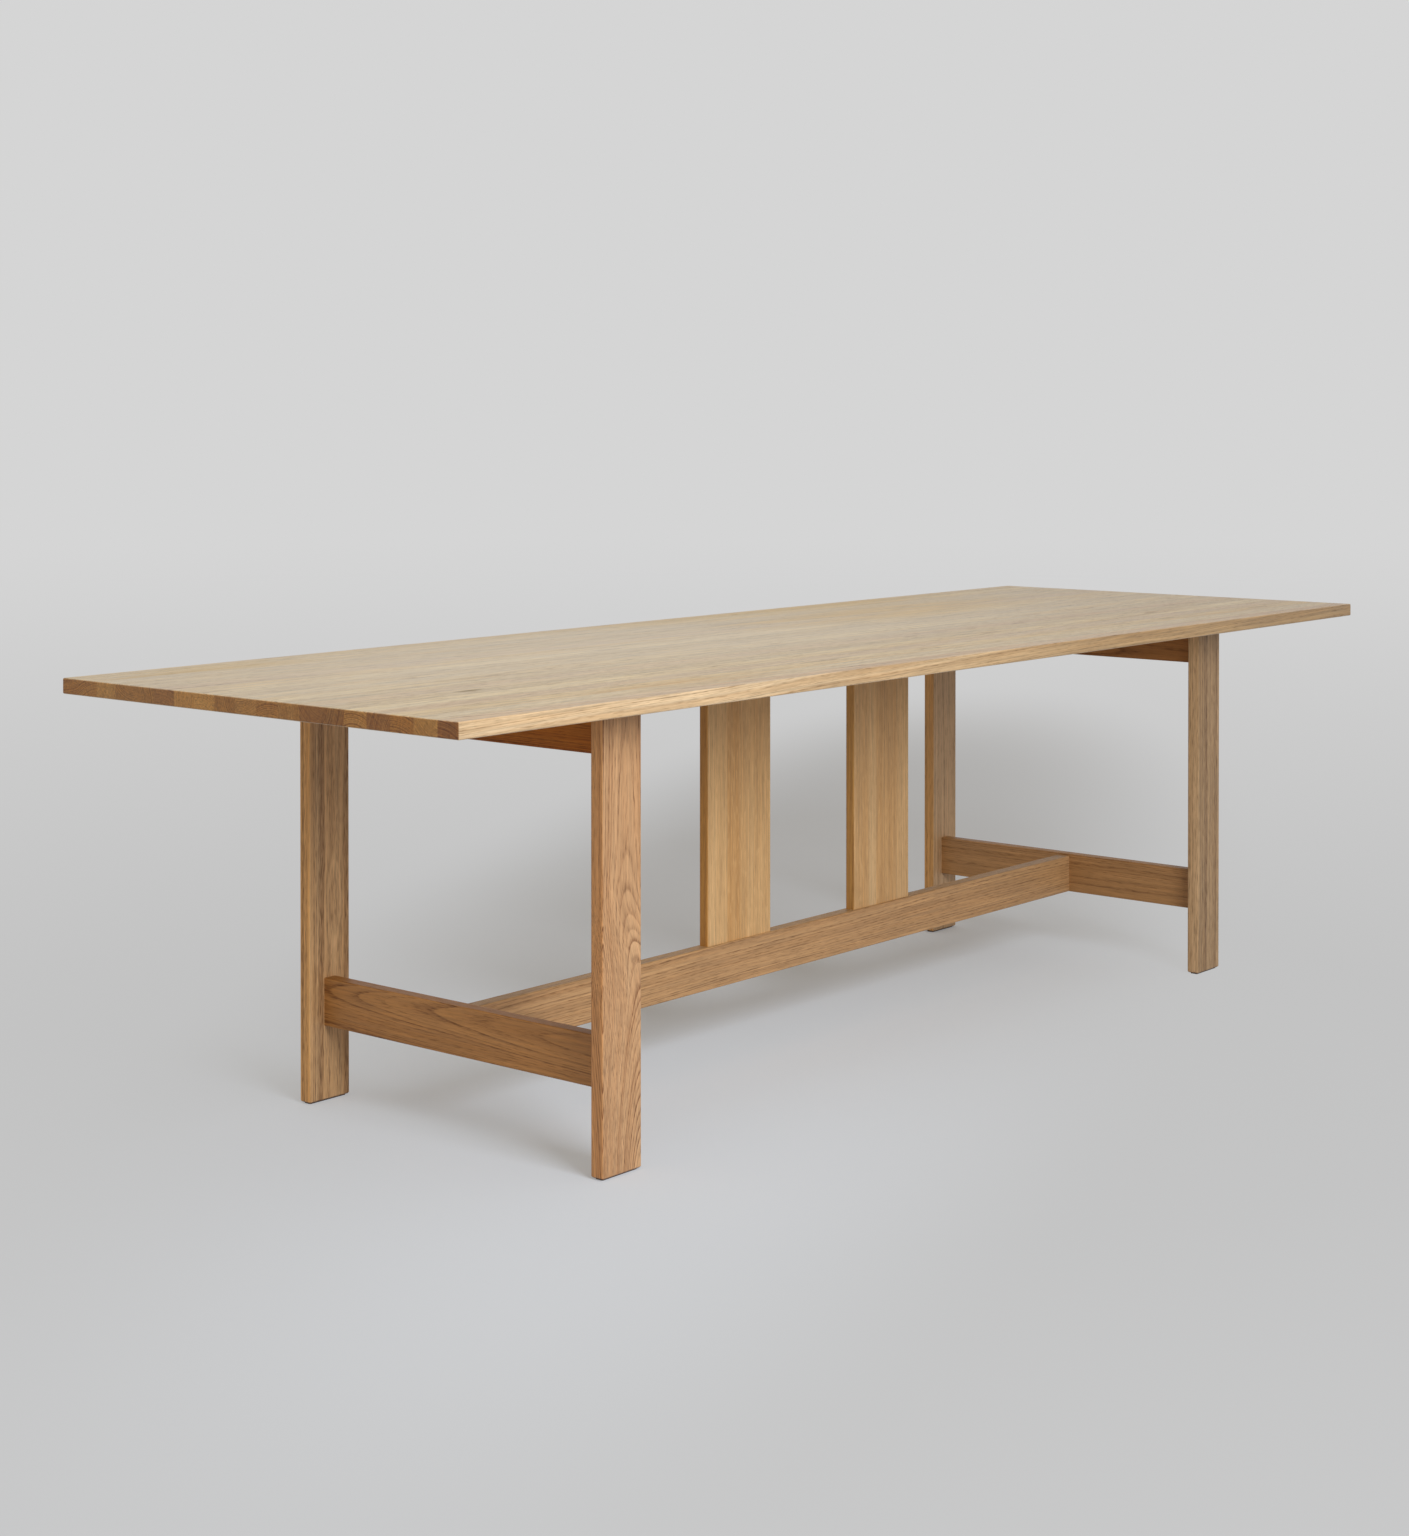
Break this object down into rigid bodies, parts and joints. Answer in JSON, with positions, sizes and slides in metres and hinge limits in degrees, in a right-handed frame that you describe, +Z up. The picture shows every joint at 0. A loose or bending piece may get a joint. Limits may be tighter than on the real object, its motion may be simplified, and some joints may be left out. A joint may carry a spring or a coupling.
{
  "type": "trestle dining table",
  "caption": "Long rectangular oak trestle dining table: stave top on two board-leg end frames, joined by a low stretcher with upright slats under the middle.",
  "frame": {"origin": "on the floor, under the middle of the top", "axes": "+X along the table, +Y across it towards the rear side, +Z up"},
  "size_m": [2.7, 0.88, 0.735],
  "materials": {
    "oak_top": "oiled oak, staves along the table",
    "oak_frame": "oiled oak boards",
    "felt": "dark wool felt",
    "zinc_steel": "zinc-plated steel",
    "brass_insert": "turned brass",
    "beech_dowel": "plain beech"
  },
  "bodies": {
    "root": {"bearer_left": "oak_frame", "bearer_right": "oak_frame", "felt_pad_left_front": "felt", "felt_pad_left_rear": "felt", "felt_pad_right_front": "felt", "felt_pad_right_rear": "felt", "half_moon_washers": "zinc_steel", "hanger_bolt_nuts": "zinc_steel", "hanger_bolts": "zinc_steel", "leg_left_front": "oak_frame", "leg_left_rear": "oak_frame", "leg_right_front": "oak_frame", "leg_right_rear": "oak_frame", "lower_rail_left": "oak_frame", "lower_rail_right": "oak_frame", "plate_to_slat_screws": "zinc_steel", "plate_to_top_screws": "zinc_steel", "slat_foot_dowels": "beech_dowel", "slat_head_plates": "zinc_steel", "slat_left": "oak_frame", "slat_right": "oak_frame", "stretcher": "oak_frame", "stretcher_end_dowels": "beech_dowel", "top_bolt_inserts": "brass_insert", "top_bolt_washers": "zinc_steel", "top_bolts": "zinc_steel", "top_stave_01": "oak_top", "top_stave_02": "oak_top", "top_stave_03": "oak_top", "top_stave_04": "oak_top", "top_stave_05": "oak_top", "top_stave_06": "oak_top", "top_stave_07": "oak_top", "top_stave_08": "oak_top", "top_stave_09": "oak_top", "top_stave_10": "oak_top", "top_stave_11": "oak_top", "top_stave_12": "oak_top", "top_stave_13": "oak_top", "top_stave_14": "oak_top", "top_stave_15": "oak_top", "top_stave_16": "oak_top", "top_stave_17": "oak_top", "top_stave_18": "oak_top", "top_stave_19": "oak_top"}
  },
  "joints": []
}
